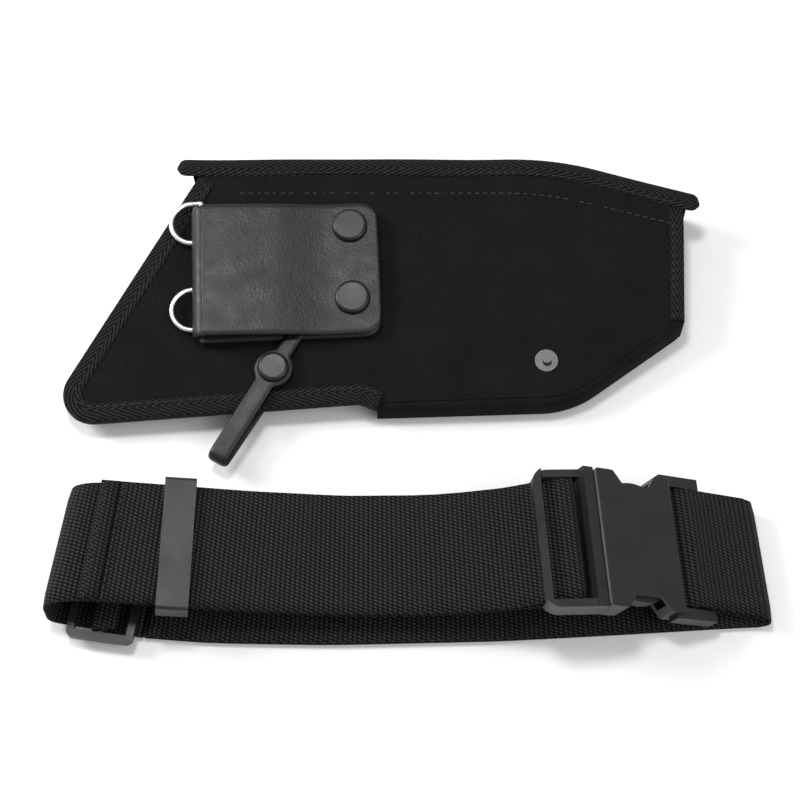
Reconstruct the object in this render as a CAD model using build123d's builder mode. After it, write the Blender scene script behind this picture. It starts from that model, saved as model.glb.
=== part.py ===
"""Belt sheath for a forestry tool, with its webbing belt, laid out flat on a table.

Frame: +X along the sheath towards its closed end, +Y from the belt towards the sheath's stitched top
edge, +Z up. The origin is on the table, under the middle of the whole layout. Millimetres and degrees.

The sheath is a wedge-shaped pocket: a flat back panel on the table, a front panel tilted up towards the
top edge, a gusset round the fold and the closed end, and a spine under the stitched top edge. Its mouth
is the slanted end and the first part of the lower edge. The belt runs from a hemmed tail through the
male buckle half, round a fold to an adjuster, and on round a second fold into the female buckle half.
"""

import os
from math import atan2, cos, degrees, hypot, radians, sin, tan

from build123d import *

# ---- layout on the table -------------------------------------------------------------------------
layout_x = -3.65  # moves the drawing so that the origin is under the middle of the layout
layout_y = 2.25

# ---- sheath: panels and bindings -----------------------------------------------------------------
panel_t = 3.2  # foam and fabric laminate
tape_t = 0.8  # binding tape, one layer
tape_w = 8.2  # how far the tapes lie over a panel
end_tape_w = 6.3
liner_t = 0.8  # cut-resistant plastic liner
liner_margin = 14.0
gusset_t = 3.0
front_height = 12.6  # outer face of the front panel above the table, at y = 0
front_tilt = 6.0  # the front panel rises towards the top edge
seam_y = 89.0  # top seam, where the stitch line runs
seam_bend_x = 63.6  # corner of the two straight stretches of the seam
seam_bend_r = 140.0
seam_fall = 15.0  # slope of the second stretch
spine_w = 18.0
flange_w = 16.0  # from the stitch line out to the edge of the top tape
tape_overhang = 5.0  # the top tape runs past the panels at both ends
end_x = 121.5  # closed end
mouth_x = -92.0  # where the mouth edge crosses the seam
mouth_slope = 61.2
lip_slope = 4.5  # slope of the lower lip of the mouth
notch_top = (-17.0, -7.0)
notch_low = (-9.5, -10.0)
heel = (72.0, -7.3)
end_low = (119.5, 28.0)
tip_r, notch_r, heel_r, end_r = 13.0, 3.0, 41.0, 3.5
back_inset = 5.0  # the back panel's mouth edge lies this far inside the front one's

# ---- sheath: leather loop, rings and snaps -------------------------------------------------------
leather_t = 2.0
loop_at = (-88.0, 47.8)  # outside of the fold, on the front panel
loop_turn = 2.5
loop_l = 80.0
loop_half_w = 30.0
loop_mid_q = 1.0  # the loop reaches further to one side of loop_at than to the other
loop_gap = 7.0  # room for the belt between base and flap
loop_corner_r = 8.0
flap_drop_from, flap_drop_to = 55.4, 59.2  # where the flap slopes down to its snaps
snap_p = 67.5  # snaps along the loop
snap_q = (20.0, -13.0)  # snaps across the loop
cap_r, cap_h = 7.5, 2.4
stud_flange_r, stud_flange_t = 5.5, 0.5
stud_post_r = 1.9
socket_r, socket_bore_r = 5.5, 2.6
ring_q = (25.0, -14.8)
ring_wire_r = 1.1
ring_half_w = 9.1  # from the middle to the wire of each arm
ring_reach = 13.8  # from the bar to the far side of the bow
ring_slack = 0.3  # around the bar, inside the fold
slit_w = 3.4
slit_low, slit_high = 2.4, 9.4
body_gap = 0.3  # between two pieces that move apart
strap_lift = 0.2  # the retention strap passes this far over the loop's base
socket_t = leather_t + strap_lift - stud_flange_t - body_gap

# ---- sheath: retention strap and studs -----------------------------------------------------------
strap_t = 1.6
strap_w = 8.4
strap_at = (-52.7, 7.4)  # its snap, on the front panel
strap_turn = 60.0  # direction of the strap from its fold to its tab
strap_to_fold, strap_to_tab = 42.0, 22.0
strap_back_z = 5.2  # underside of the back ply above the table
strap_back_l = 62.0
strap_eye_r = 8.3
strap_tab_w = 6.8
strap_cap_r = 6.5
rivet_r, rivet_head_r, rivet_head_t = 1.2, 3.4, 0.6
rivet_along = 57.0  # from the strap's fold, along the back ply
accessory_at = (61.3, 11.6)
accessory_r, accessory_rim_t, accessory_h = 4.85, 0.9, 3.3
washer_r, washer_t = 4.0, 0.6

# ---- belt ----------------------------------------------------------------------------------------
web_w, web_t = 50.0, 1.8
ply_gap = 0.5  # between two plies that lie on each other
ply_pitch = web_t + ply_gap  # between their middles
low_z = web_t / 2 + 0.3  # middle of the lowest ply
arc_step = 22.5  # folds are drawn with a section at every such angle

buckle_at = (76.3, -74.4, 30.3)  # middle of the parting line between the buckle halves
buckle_turn = 4.0
frame_pitch, house_pitch, bar_pitch = 8.0, 26.0, 28.0  # the buckle follows the waist
slot_half_w = web_w / 2 + 0.8  # room for the webbing's edge in the buckle
rail_w = 3.2
frame_l = 24.0
frame_low, frame_top = -4.2, 5.6
frame_edge_w, frame_edge_low = 3.5, 2.1
frame_corner_r = 7.0
frame_bar_u, frame_bar_r = -9.8, 1.7
far_rail_top = 2.4  # the far rail is lower, and the webbing stands over it
wall_l, wall_half_t = 4.6, 4.8
guide_l, guide_half_w = 19.0, 5.0
prong_l, prong_w, prong_half_t = 27.0, 5.0, 2.5
tab_from, tab_to, tab_h = 11.0, 25.0, 1.6
house_l = 36.0
house_half_t, house_end_half_t, plate_t = 5.8, 4.6, 2.6
house_side_t, house_waist = 2.8, 5.6
window_from, window_to = 10.5, 27.0
house_bar_u, house_bar_r = 6.0, 1.9
foot_l, foot_half_t, foot_w = 15.0, 3.0, 4.6

keeper_at = (-88.5, -73.3, 20.2)
keeper_turn, keeper_pitch = -1.0, 7.0
keeper_l, keeper_wall = 12.6, 2.0
keeper_inner_w, keeper_inner_h = web_w + 1.8, ply_pitch + web_t + 1.7

slider_at = (-115.0, -79.3)
slider_turn = -8.0
slider_l, slider_bar_w, slider_t = 27.0, 3.0, 3.2
slider_bar_r = 1.6
slider_wrap_r = slider_bar_r + web_t / 2 + 0.5
slider_z = low_z + ply_pitch + slider_wrap_r
cut_x = -99.0  # the belt's two moving halves part here, under the strand


# ---- planes --------------------------------------------------------------------------------------
def table(x=0.0, y=0.0, z=0.0):
    """A level plane at a point of the layout."""
    return Plane(origin=(layout_x + x, layout_y + y, z))


def turned(plane, x, y, angle):
    """The plane moved to a local point and turned about its own normal."""
    a = radians(angle)
    local = Plane(origin=(x, y, 0), x_dir=(cos(a), sin(a), 0))
    return Plane(plane.location * local.location)


def pitched(plane, angle, x=0.0, z=0.0):
    """The plane moved to a local point and turned about its y axis; its x axis then points down."""
    a = radians(angle)
    local = Plane(origin=(x, 0, z), x_dir=(cos(a), 0, -sin(a)), z_dir=(sin(a), 0, cos(a)))
    return Plane(plane.location * local.location)


def side_of(plane):
    """The upright plane that holds a plane's x and normal, for profiles drawn as (along, height)."""
    return Plane(origin=plane.origin, x_dir=plane.x_dir, z_dir=-plane.y_dir)


tilt = radians(front_tilt)
front = Plane(table(z=front_height).origin, x_dir=(1, 0, 0), z_dir=(0, -sin(tilt), cos(tilt)))
loop_plane = turned(front, *loop_at, loop_turn)
loop_side = side_of(loop_plane)
strap_plane = turned(front, *strap_at, strap_turn)
strap_side = side_of(strap_plane)
buckle_level = turned(table(*buckle_at), 0, 0, buckle_turn)
frame_plane = pitched(buckle_level, frame_pitch)
house_plane = pitched(buckle_level, house_pitch)
bar_plane = pitched(house_plane, bar_pitch - house_pitch, house_l)
keeper_plane = pitched(turned(table(*keeper_at), 0, 0, keeper_turn), keeper_pitch)
slider_plane = turned(table(*slider_at, slider_z), 0, 0, slider_turn)


snap_stack = stud_flange_t + body_gap + socket_t
strap_low = snap_stack  # underside of the front ply over the front panel
fold_start = strap_plane.from_local_coords((-strap_to_fold, 0, strap_low + strap_t))
strap_upright = Plane(
    origin=(fold_start.X, fold_start.Y, 0),
    x_dir=(cos(radians(strap_turn)), sin(radians(strap_turn)), 0),
    z_dir=(sin(radians(strap_turn)), -cos(radians(strap_turn)), 0),
)
rivet_at = strap_upright.from_local_coords((rivet_along, 0, 0))


# ---- outlines of the sheath ----------------------------------------------------------------------
def meet(p, angle_p, q, angle_q):
    """Where the line through p at angle_p meets the line through q at angle_q."""
    ax, ay = cos(radians(angle_p)), sin(radians(angle_p))
    bx, by = cos(radians(angle_q)), sin(radians(angle_q))
    along = ((q[0] - p[0]) * by - (q[1] - p[1]) * bx) / (ax * by - ay * bx)
    return (p[0] + along * ax, p[1] + along * ay)


def heading(a, b):
    return degrees(atan2(b[1] - a[1], b[0] - a[0]))


def inset(points, distance):
    """An open chain of corners moved to its left by distance, each stretch staying parallel."""
    starts = []
    for a, b in zip(points, points[1:]):
        side = radians(heading(a, b) + 90)
        shift = (distance * cos(side), distance * sin(side))
        starts.append(((a[0] + shift[0], a[1] + shift[1]), (b[0] + shift[0], b[1] + shift[1])))
    corners = [starts[0][0]]
    for (a, b), (c, d) in zip(starts, starts[1:]):
        corners.append(meet(a, heading(a, b), c, heading(c, d)))
    return corners + [starts[-1][1]]


seam_bend = (seam_bend_x, seam_y)
seam_end = meet(seam_bend, -seam_fall, (end_x, 0), 90)
tip = meet((mouth_x, seam_y), mouth_slope, notch_top, lip_slope)
tape_line = seam_y + flange_w - tape_w  # inner edge of the top tape
mouth_top = meet((mouth_x, seam_y), mouth_slope, (0, tape_line - 0.3), 0)
mouth_path = [mouth_top, tip, notch_top, notch_low]
mouth_radii = [tip_r, notch_r]
fold_path = [notch_low, heel, end_low, seam_end]
fold_radii = [heel_r, end_r]
seam_path = [seam_end, seam_bend, (mouth_x, seam_y)]


def draw_band(points, radii, outer, inner):
    """The face between a chain moved left by outer and by inner. Bends to the left get tighter."""
    ends = []
    with BuildLine() as outline:
        for distance in (outer, inner):
            bends = []
            for a, b, c, r in zip(points, points[1:], points[2:], radii):
                left = sin(radians(heading(b, c) - heading(a, b))) > 0
                bends.append(max(r - distance if left else r + distance, 0.5))
            chain = inset(points, distance)
            FilletPolyline(*chain, radius=bends) if bends else Line(*chain)
            ends.append((chain[0], chain[-1]))
        Line(ends[0][0], ends[1][0])
        Line(ends[0][1], ends[1][1])
    make_face(outline.edges())


def draw_panel(mouth_inset, fold_inset, seam_inset):
    """A panel's outline with its three edges moved in by their own distances."""
    mouth = inset([mouth_path[1], notch_top, notch_low], mouth_inset)
    slant = inset(mouth_path[:2], mouth_inset)
    fold = inset(fold_path, fold_inset)
    seam = inset(seam_path, seam_inset)
    lip = heading(mouth_path[1], notch_top)
    corners = [
        meet(slant[0], mouth_slope, seam[2], 0),
        meet(slant[0], mouth_slope, mouth[0], lip),
        mouth[1],
        meet(mouth[1], heading(notch_top, notch_low), fold[0], heading(notch_low, heel)),
        fold[1],
        fold[2],
        meet(fold[2], heading(end_low, seam_end), seam[1], -seam_fall),
        seam[1],
    ]
    radii = [0.8, max(tip_r - mouth_inset, 1), notch_r, notch_r, heel_r - fold_inset, 1.5, 0.8]
    with BuildLine() as outline:
        FilletPolyline(*corners, radius=radii + [seam_bend_r - seam_inset], close=True)
    make_face(outline.edges())


def under_front(depth):
    """Cuts away everything above the face that lies depth under the front panel's outer face."""
    split(bisect_by=front.offset(-depth), keep=Keep.BOTTOM)


# ---- sheath: soft parts --------------------------------------------------------------------------
flange_edge = flange_w - tape_t
with BuildPart() as back_panel:
    with BuildSketch(table(z=tape_t)):
        draw_panel(back_inset + tape_t, gusset_t, -flange_edge)
    extrude(amount=panel_t)
    with Locations((rivet_at.X, rivet_at.Y, 0)):
        Cylinder(rivet_r + 0.05, 40, mode=Mode.SUBTRACT)

with BuildPart() as front_panel:
    with BuildSketch(front):
        draw_panel(tape_t, gusset_t + 0.4, -flange_edge)
    extrude(amount=-panel_t)
    with Locations(turned(front, *accessory_at, 0)):
        Cylinder(rivet_r + 0.05, 40, mode=Mode.SUBTRACT)

back_top = tape_t + panel_t
with BuildPart() as liner_back:
    with BuildSketch(table(z=back_top)):
        draw_panel(liner_margin + back_inset, gusset_t + 1, gusset_t + 1)
    extrude(amount=liner_t)
    with Locations((rivet_at.X, rivet_at.Y, 0)):
        Cylinder(rivet_r + 0.05, 40, mode=Mode.SUBTRACT)

with BuildPart() as liner_front:
    with BuildSketch(front.offset(-panel_t)):
        draw_panel(liner_margin, gusset_t + 1, gusset_t + 1)
    extrude(amount=-liner_t)
    with Locations(turned(front, *accessory_at, 0)):
        Cylinder(rivet_r + 0.05, 40, mode=Mode.SUBTRACT)

with BuildPart() as gusset:
    with BuildSketch(table(z=tape_t)):
        draw_band(fold_path, fold_radii, 0, gusset_t)
    extrude(amount=40)
    under_front(0)
    with BuildSketch(table(z=-1)):
        draw_band(mouth_path, mouth_radii, -4, tape_w + 0.3)
        draw_band(seam_path, [seam_bend_r], -flange_w, spine_w - flange_edge + 0.2)
    extrude(amount=60, mode=Mode.SUBTRACT)

with BuildPart() as top_spine:
    with BuildSketch(table(z=back_top)):
        draw_band(seam_path, [seam_bend_r], -flange_edge, spine_w - flange_edge)
    extrude(amount=40)
    under_front(panel_t)
    with BuildSketch(table(z=-1)):
        draw_panel(liner_margin + 2, body_gap, -flange_edge)
    extrude(amount=60, mode=Mode.INTERSECT)


def tape_over(path, radii, outer, inner, lower, upper):
    """A folded tape: a wall along the edge and a leg over each face, in the active part."""
    for face in (lower, upper):
        with BuildSketch(face) as leg:
            draw_band(path, radii, outer, inner)
        extrude(leg.sketch, amount=tape_t)


with BuildPart() as mouth_binding_back:
    tape_over(mouth_path, mouth_radii, back_inset, back_inset + tape_w, table(), table(z=back_top))
    with BuildSketch(table()):
        draw_band(mouth_path, mouth_radii, back_inset, back_inset + tape_t)
    extrude(amount=back_top + tape_t)

with BuildPart() as mouth_binding_front:
    tape_over(mouth_path, mouth_radii, 0, tape_w, front.offset(-panel_t - tape_t), front)
    with BuildSketch(front.offset(-panel_t - tape_t)):
        draw_band(mouth_path, mouth_radii, 0, tape_t)
    extrude(amount=panel_t + 2 * tape_t)

short_seam = [
    (end_x + 1.5, seam_end[1] - 1.5 * tan(radians(seam_fall))),
    seam_bend,
    (mouth_x + 6.0, seam_y),
]
long_seam = [
    (end_x + tape_overhang, seam_end[1] - tape_overhang * tan(radians(seam_fall))),
    seam_bend,
    (mouth_x - tape_overhang, seam_y),
]
with BuildPart() as top_binding:
    with BuildSketch(table()):
        draw_band(short_seam, [seam_bend_r], -flange_w, -flange_edge)
    extrude(amount=40)
    under_front(0)
    with BuildSketch(table()):
        draw_band(short_seam, [seam_bend_r], -flange_w, tape_w - flange_w)
    extrude(amount=tape_t)
    with BuildSketch(front):
        draw_band(long_seam, [seam_bend_r], -flange_w, tape_w - flange_w)
    extrude(amount=tape_t)

end_path = [
    meet(end_low, heading(end_low, seam_end), (0, end_low[1] + end_r + 0.5), 0),
    meet(end_low, heading(end_low, seam_end), inset(seam_path, tape_w - flange_w + 1.2)[0], -seam_fall),
]
with BuildPart() as end_binding:
    with BuildSketch(table()):
        draw_band(end_path, [], -tape_t, 0)
    extrude(amount=40)
    under_front(-tape_t)
    tape_over(end_path, [], -tape_t, end_tape_w - tape_t, table(), front)

# ---- sheath: leather loop ------------------------------------------------------------------------
fold_r = leather_t + loop_gap / 2
flap_low = leather_t + snap_stack


def draw_loop_plan():
    """The loop seen from above, with its two free corners rounded."""
    low, high = loop_mid_q - loop_half_w, loop_mid_q + loop_half_w
    with BuildLine() as outline:
        Polyline((-1, high), (-1, low), (loop_l - loop_corner_r, low))
        Line((loop_l, low + loop_corner_r), (loop_l, high - loop_corner_r))
        Line((loop_l - loop_corner_r, high), (-1, high))
        RadiusArc((loop_l - loop_corner_r, low), (loop_l, low + loop_corner_r), -loop_corner_r)
        RadiusArc((loop_l, high - loop_corner_r), (loop_l - loop_corner_r, high), -loop_corner_r)
    make_face(outline.edges())


with BuildPart() as loop_base:
    with BuildSketch(loop_side):
        with Locations((fold_r, fold_r)):
            Circle(fold_r)
            Circle(fold_r - leather_t, mode=Mode.SUBTRACT)
        with Locations((fold_r, 0)):
            Rectangle(fold_r, 2 * fold_r, align=(Align.MIN, Align.MIN), mode=Mode.SUBTRACT)
            Rectangle(loop_l - fold_r, leather_t, align=(Align.MIN, Align.MIN))
    extrude(amount=2 * loop_half_w, both=True)
    with BuildSketch(loop_plane.offset(-1)):
        draw_loop_plan()
    extrude(amount=20, mode=Mode.INTERSECT)
    slits = [(-1, q + side * ring_half_w, slit_low) for q in ring_q for side in (-1, 1)]
    with Locations(loop_plane):
        with Locations(*slits):
            across = (Align.MIN, Align.CENTER, Align.MIN)
            Box(fold_r, slit_w, slit_high - slit_low, align=across, mode=Mode.SUBTRACT)

with BuildPart() as belt_loop_flap:
    with BuildSketch(loop_side):
        with BuildLine():
            high = 2 * fold_r
            Polyline(
                (fold_r + body_gap, high - leather_t),
                (flap_drop_from, high - leather_t),
                (flap_drop_to, flap_low),
                (loop_l, flap_low),
                (loop_l, flap_low + leather_t),
                (flap_drop_to + 0.6, flap_low + leather_t),
                (flap_drop_from + 0.6, high),
                (fold_r + body_gap, high),
                close=True,
            )
        make_face()
    extrude(amount=2 * loop_half_w, both=True)
    with BuildSketch(loop_plane.offset(-1)):
        draw_loop_plan()
    extrude(amount=20, mode=Mode.INTERSECT)


def ring(q):
    """A D-ring whose bar lies inside the fold."""
    bar = leather_t + ring_slack + ring_wire_r + 0.6
    arm_l = ring_reach - ring_half_w - ring_wire_r
    with BuildPart() as made:
        with Locations((bar - arm_l, q, bar)):
            Torus(ring_half_w, ring_wire_r)
            Box(40, 40, 10, align=(Align.MIN, Align.CENTER, Align.CENTER), mode=Mode.SUBTRACT)
        for side in (-1, 1):
            with Locations((bar - arm_l / 2, q + side * ring_half_w, bar)):
                Cylinder(ring_wire_r, arm_l, rotation=(0, 90, 0))
            with Locations((bar, q + side * ring_half_w, bar)):
                Sphere(ring_wire_r)
        with Locations((bar, q, bar)):
            Cylinder(ring_wire_r, 2 * ring_half_w, rotation=(90, 0, 0))
    return loop_plane.location * made.part


d_ring_upper = ring(ring_q[0])
d_ring_lower = ring(ring_q[1])


def snaps(height):
    """Places on the loop for its snap parts."""
    return [loop_plane.location * Location((snap_p, q, height)) for q in snap_q]


def dome_cap(r, h):
    """A snap's cap: a drum with a rounded top."""
    with BuildPart(mode=Mode.PRIVATE) as cap:
        Cylinder(r, h, align=(Align.CENTER, Align.CENTER, Align.MIN))
        fillet(cap.edges().sort_by(Axis.Z)[-1], h * 0.7)
    return cap.part


def socket():
    """A snap's socket: a flat ring that takes the stud's post."""
    with BuildPart(mode=Mode.PRIVATE) as made:
        Cylinder(socket_r, socket_t, align=(Align.CENTER, Align.CENTER, Align.MIN))
        Cylinder(socket_bore_r, 10, mode=Mode.SUBTRACT)
    return made.part


def stud():
    """A snap's stud: a flange with a post, a little lower than the socket over it."""
    with BuildPart(mode=Mode.PRIVATE) as made:
        Cylinder(stud_flange_r, stud_flange_t, align=(Align.CENTER, Align.CENTER, Align.MIN))
        Cylinder(stud_post_r, snap_stack - body_gap, align=(Align.CENTER, Align.CENTER, Align.MIN))
        fillet(made.edges().sort_by(Axis.Z)[-1], 0.5)
    return made.part


with BuildPart() as loop_snap_caps:
    with Locations(*snaps(flap_low + leather_t)):
        add(dome_cap(cap_r, cap_h))

with BuildPart() as loop_snap_sockets:
    with Locations(*snaps(flap_low - socket_t)):
        add(socket())

with BuildPart() as loop_snap_studs:
    with Locations(*snaps(leather_t)):
        add(stud())

# ---- sheath: retention strap ---------------------------------------------------------------------
with BuildPart() as strap_front:
    with BuildSketch(strap_plane.offset(strap_low)):
        with Locations((-strap_to_fold / 2, 0)):
            Rectangle(strap_to_fold - 2 * body_gap, strap_w)
        Circle(strap_eye_r)
        with Locations((strap_to_tab / 2, 0)):
            Rectangle(strap_to_tab, strap_tab_w)
    extrude(amount=strap_t)

strap_fold_r = (fold_start.Z - strap_back_z) / 2
with BuildPart() as strap_back:
    with BuildSketch(strap_upright):
        with Locations((0, strap_back_z + strap_fold_r)):
            Circle(strap_fold_r)
            Circle(strap_fold_r - strap_t, mode=Mode.SUBTRACT)
        with Locations((0, 0)):
            Rectangle(20, 60, align=(Align.MIN, Align.CENTER), mode=Mode.SUBTRACT)
        with Locations((0, strap_back_z)):
            Rectangle(strap_back_l, strap_t, align=(Align.MIN, Align.MIN))
    extrude(amount=strap_w / 2, both=True)
    with Locations((rivet_at.X, rivet_at.Y, 0)):
        Cylinder(rivet_r + 0.05, 40, mode=Mode.SUBTRACT)

with BuildPart() as strap_rivet:
    with Locations((rivet_at.X, rivet_at.Y, 0.15)):
        top = strap_back_z + strap_t + rivet_head_t - 0.15
        Cylinder(rivet_r, top, align=(Align.CENTER, Align.CENTER, Align.MIN))
        head = (Align.CENTER, Align.CENTER, Align.MIN)
        Cylinder(rivet_head_r, tape_t - 0.15, align=head)
    with Locations((rivet_at.X, rivet_at.Y, strap_back_z + strap_t)):
        Cylinder(rivet_head_r, rivet_head_t, align=(Align.CENTER, Align.CENTER, Align.MIN))

with BuildPart() as strap_snap_cap:
    with Locations(strap_plane.offset(strap_low + strap_t).location):
        add(dome_cap(strap_cap_r, cap_h))

with BuildPart() as strap_snap_socket:
    with Locations(strap_plane.offset(strap_low - socket_t).location):
        add(socket())

with BuildPart() as strap_snap_stud:
    with Locations(strap_plane.location):
        add(stud())

with BuildPart() as accessory_stud:
    with Locations(turned(front, *accessory_at, 0).location):
        up = (Align.CENTER, Align.CENTER, Align.MIN)
        down = (Align.CENTER, Align.CENTER, Align.MAX)
        Cylinder(accessory_r, accessory_rim_t, align=up)
        Cylinder(stud_post_r, accessory_h, align=up)
        Cylinder(rivet_r, panel_t + liner_t + washer_t, align=down)

with BuildPart() as accessory_washer:
    with Locations(turned(front.offset(-panel_t - liner_t), *accessory_at, 0).location):
        Cylinder(washer_r, washer_t, align=(Align.CENTER, Align.CENTER, Align.MAX))
        Cylinder(rivet_r, 10, mode=Mode.SUBTRACT)

# ---- belt: webbing -------------------------------------------------------------------------------
def stations(corners):
    """Points (x, z, way, y, skew) along a rounded path given by corners (x, z, radius, y, skew)."""
    made = []
    for i, (x, z, r, y, skew) in enumerate(corners):
        before = heading(corners[i - 1], corners[i]) if i else None
        after = heading(corners[i], corners[i + 1]) if i + 1 < len(corners) else before
        before = after if before is None else before
        turn = (after - before + 180) % 360 - 180
        if abs(turn) < 0.1 or r == 0:
            made.append((x, z, before + turn / 2, y, skew))
            continue
        back = r * tan(radians(abs(turn)) / 2)
        sign = 1 if turn > 0 else -1
        side = radians(before + 90 * sign)
        cx = x - back * cos(radians(before)) + r * cos(side)
        cz = z - back * sin(radians(before)) + r * sin(side)
        steps = max(round(abs(turn) / arc_step), 1)
        for k in range(steps + 1):
            way = before + turn * k / steps
            out = radians(way - 90 * sign)
            made.append((cx + r * cos(out), cz + r * sin(out), way, y, skew))
    steps = [hypot(b[0] - a[0], b[1] - a[1]) for a, b in zip(made, made[1:])]
    return made[:1] + [m for m, step in zip(made[1:], steps) if step > 0.02]


def webbing(corners):
    """A flat strap along a path in the x-z plane; skew leans its across direction in plan."""
    with BuildPart() as made:
        for x, z, way, y, skew in stations(corners):
            along = Vector(cos(radians(way)), 0, sin(radians(way)))
            across = Vector(skew, 1, 0).normalized()
            normal = along.cross(across).normalized()
            with BuildSketch(Plane(table(x, y, z).origin, x_dir=across, z_dir=across.cross(normal))):
                Rectangle(web_w, web_t)
        loft(ruled=True)
    return made.part


def on_frame(u, w):
    """Layout x and z of a point of the male frame's middle plane."""
    p = frame_plane.from_local_coords((u, 0, w))
    return p.X - layout_x, p.Z


def on_foot(u, w):
    p = bar_plane.from_local_coords((u, 0, w))
    return p.X - layout_x, p.Z


wrap_r = frame_bar_r + 0.6 + web_t / 2
bar_x, bar_z = on_frame(frame_bar_u, 0)
wrap_y = buckle_at[1] - 0.9
upper_ply = [
    (-122.0, 25.4, 0, -72.0, 0.12),
    (-88.0, 21.4, 300, -73.2, 0.08),
    (-56.0, 17.6, 150, -74.2, 0.05),
    (-20.0, 15.2, 100, -75.0, 0.0),
    (16.0, 17.4, 100, -75.4, -0.03),
    (42.0, 24.6, 40, -75.4, -0.06),
]
under_ply = [(x, z - ply_pitch, r, y, lean) for x, z, r, y, lean in reversed(upper_ply)]
under_ply[-1] = (*under_ply[-1][:2], 60, *under_ply[-1][3:])
webbing_front = webbing(
    upper_ply
    + [
        (bar_x - 3.0, bar_z + wrap_r, 5, wrap_y, -0.07),
        (bar_x + wrap_r, bar_z + wrap_r, wrap_r, wrap_y, -0.07),
        (bar_x + wrap_r, bar_z - wrap_r, wrap_r, wrap_y, -0.07),
        (bar_x - 3.0, bar_z - wrap_r, 20, wrap_y, -0.07),
    ]
    + under_ply
    + [
        (-136.0, upper_ply[0][1] - ply_pitch, 8, -72.6, 0.15),
        (-136.0, low_z, 8, -74.6, 0.15),
        (cut_x - body_gap, low_z, 0, -80.2, 0.12),
    ]
)

post_x, post_z = on_foot(house_bar_u, 0)
post_r = house_bar_r + 0.6 + web_t / 2
outer_r = 2 * ply_pitch - 0.4
far_x = 145.0
upper_z = low_z + 2 * outer_r
foot_y = buckle_at[1] + (post_x - buckle_at[0]) * tan(radians(buckle_turn))
webbing_back = webbing(
    [
        (cut_x + body_gap, low_z, 0, -80.2, 0.12),
        (-75.0, low_z, 0, -82.2, 0.09),
        (-28.0, low_z, 0, -83.0, 0.03),
        (40.0, low_z, 0, -81.4, -0.04),
        (90.0, low_z, 0, -78.6, -0.07),
        (far_x, low_z, outer_r, -75.5, -0.08),
        (far_x, upper_z, outer_r, -74.5, -0.08),
        (post_x + 12.0, upper_z + 1.4, 20, foot_y + 0.2, -0.07),
        (post_x + 2.5, post_z + post_r, 3, foot_y, -0.07),
        (post_x - post_r, post_z + post_r, post_r, foot_y, -0.07),
        (post_x - post_r, post_z - post_r, post_r, foot_y, -0.07),
        (post_x + 3.0, post_z - post_r, 20, foot_y, -0.07),
        (post_x + 12.0, post_z - post_r - 0.8, 0, foot_y + 0.2, -0.07),
        (far_x - ply_pitch, upper_z - ply_pitch, outer_r - ply_pitch, -74.5, -0.08),
        (far_x - ply_pitch, low_z + ply_pitch, outer_r - ply_pitch, -75.5, -0.08),
        (90.0, low_z + ply_pitch, 0, -78.6, -0.07),
        (40.0, low_z + ply_pitch, 0, -81.4, -0.04),
        (-28.0, low_z + ply_pitch, 0, -83.0, 0.03),
        (-75.0, low_z + ply_pitch, 0, -82.2, 0.09),
        (cut_x + body_gap, low_z + ply_pitch, 0, -80.2, 0.12),
    ]
)

glide_x = slider_at[0]
webbing_end = webbing(
    [
        (cut_x - body_gap, low_z + ply_pitch, 0, -80.2, 0.13),
        (glide_x - slider_wrap_r, low_z + ply_pitch, slider_wrap_r, slider_at[1], 0.14),
        (glide_x - slider_wrap_r, slider_z + slider_wrap_r, slider_wrap_r, slider_at[1], 0.14),
        (glide_x + 6.0, slider_z + slider_wrap_r, 0, slider_at[1], 0.14),
    ]
)

# ---- belt: buckle --------------------------------------------------------------------------------
outside_w = 2 * (slot_half_w + rail_w)
lying = (Align.MIN, Align.CENTER, Align.MIN)
ending = (Align.MAX, Align.CENTER, Align.MIN)

with BuildPart() as male_frame:
    with Locations(frame_plane):
        with Locations((-2.2, 0, frame_low)):
            Box(frame_l - 2.2, outside_w, frame_top - frame_low, align=ending)
        corners = male_frame.edges().filter_by(Axis(frame_plane.origin, frame_plane.z_dir))
        fillet(corners.sort_by(Axis(frame_plane.origin, frame_plane.x_dir))[:2], frame_corner_r)
        with Locations((0, 0, frame_low)):
            Box(frame_l - frame_edge_w, 2 * slot_half_w, 20, align=ending, mode=Mode.SUBTRACT)
        with Locations((-frame_l - 1, 0, frame_low)):
            low_gap = frame_edge_low - frame_low
            Box(frame_l, 2 * slot_half_w, low_gap, align=lying, mode=Mode.SUBTRACT)
        with Locations((1, slot_half_w + rail_w / 2 + 1, far_rail_top)):
            Box(frame_l - 3.0, rail_w + 4, 20, align=ending, mode=Mode.SUBTRACT)
        with Locations((frame_bar_u, 0, 0)):
            Cylinder(frame_bar_r, outside_w - 1, rotation=(90, 0, 0))
    with Locations(house_plane):
        with Locations((-body_gap, 0, -wall_half_t)):
            Box(wall_l, outside_w, 2 * wall_half_t, align=ending)
        with Locations((-1, 0, -prong_half_t)):
            Box(guide_l, 2 * guide_half_w, 2 * prong_half_t, align=lying)


def prong(side):
    """A side arm of the male half, with its rounded push tab."""
    out = slot_half_w - 0.7
    with BuildPart() as made:
        with BuildSketch(house_plane.offset(-prong_half_t)):
            with BuildLine():
                Polyline(
                    (0.3, side * (out - tab_h - prong_w)),
                    (prong_l, side * (out - tab_h - prong_w)),
                    (prong_l, side * (out - tab_h - 1.0)),
                    (tab_to, side * (out - tab_h)),
                )
                ThreePointArc(
                    (tab_to, side * (out - tab_h)),
                    ((tab_from + tab_to) / 2, side * out),
                    (tab_from, side * (out - tab_h)),
                )
                Polyline(
                    (tab_from, side * (out - tab_h)),
                    (0.3, side * (out - tab_h)),
                    (0.3, side * (out - tab_h - prong_w)),
                )
            make_face()
        extrude(amount=2 * prong_half_t)
    return made.part


prong_far = prong(1)
prong_near = prong(-1)

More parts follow.
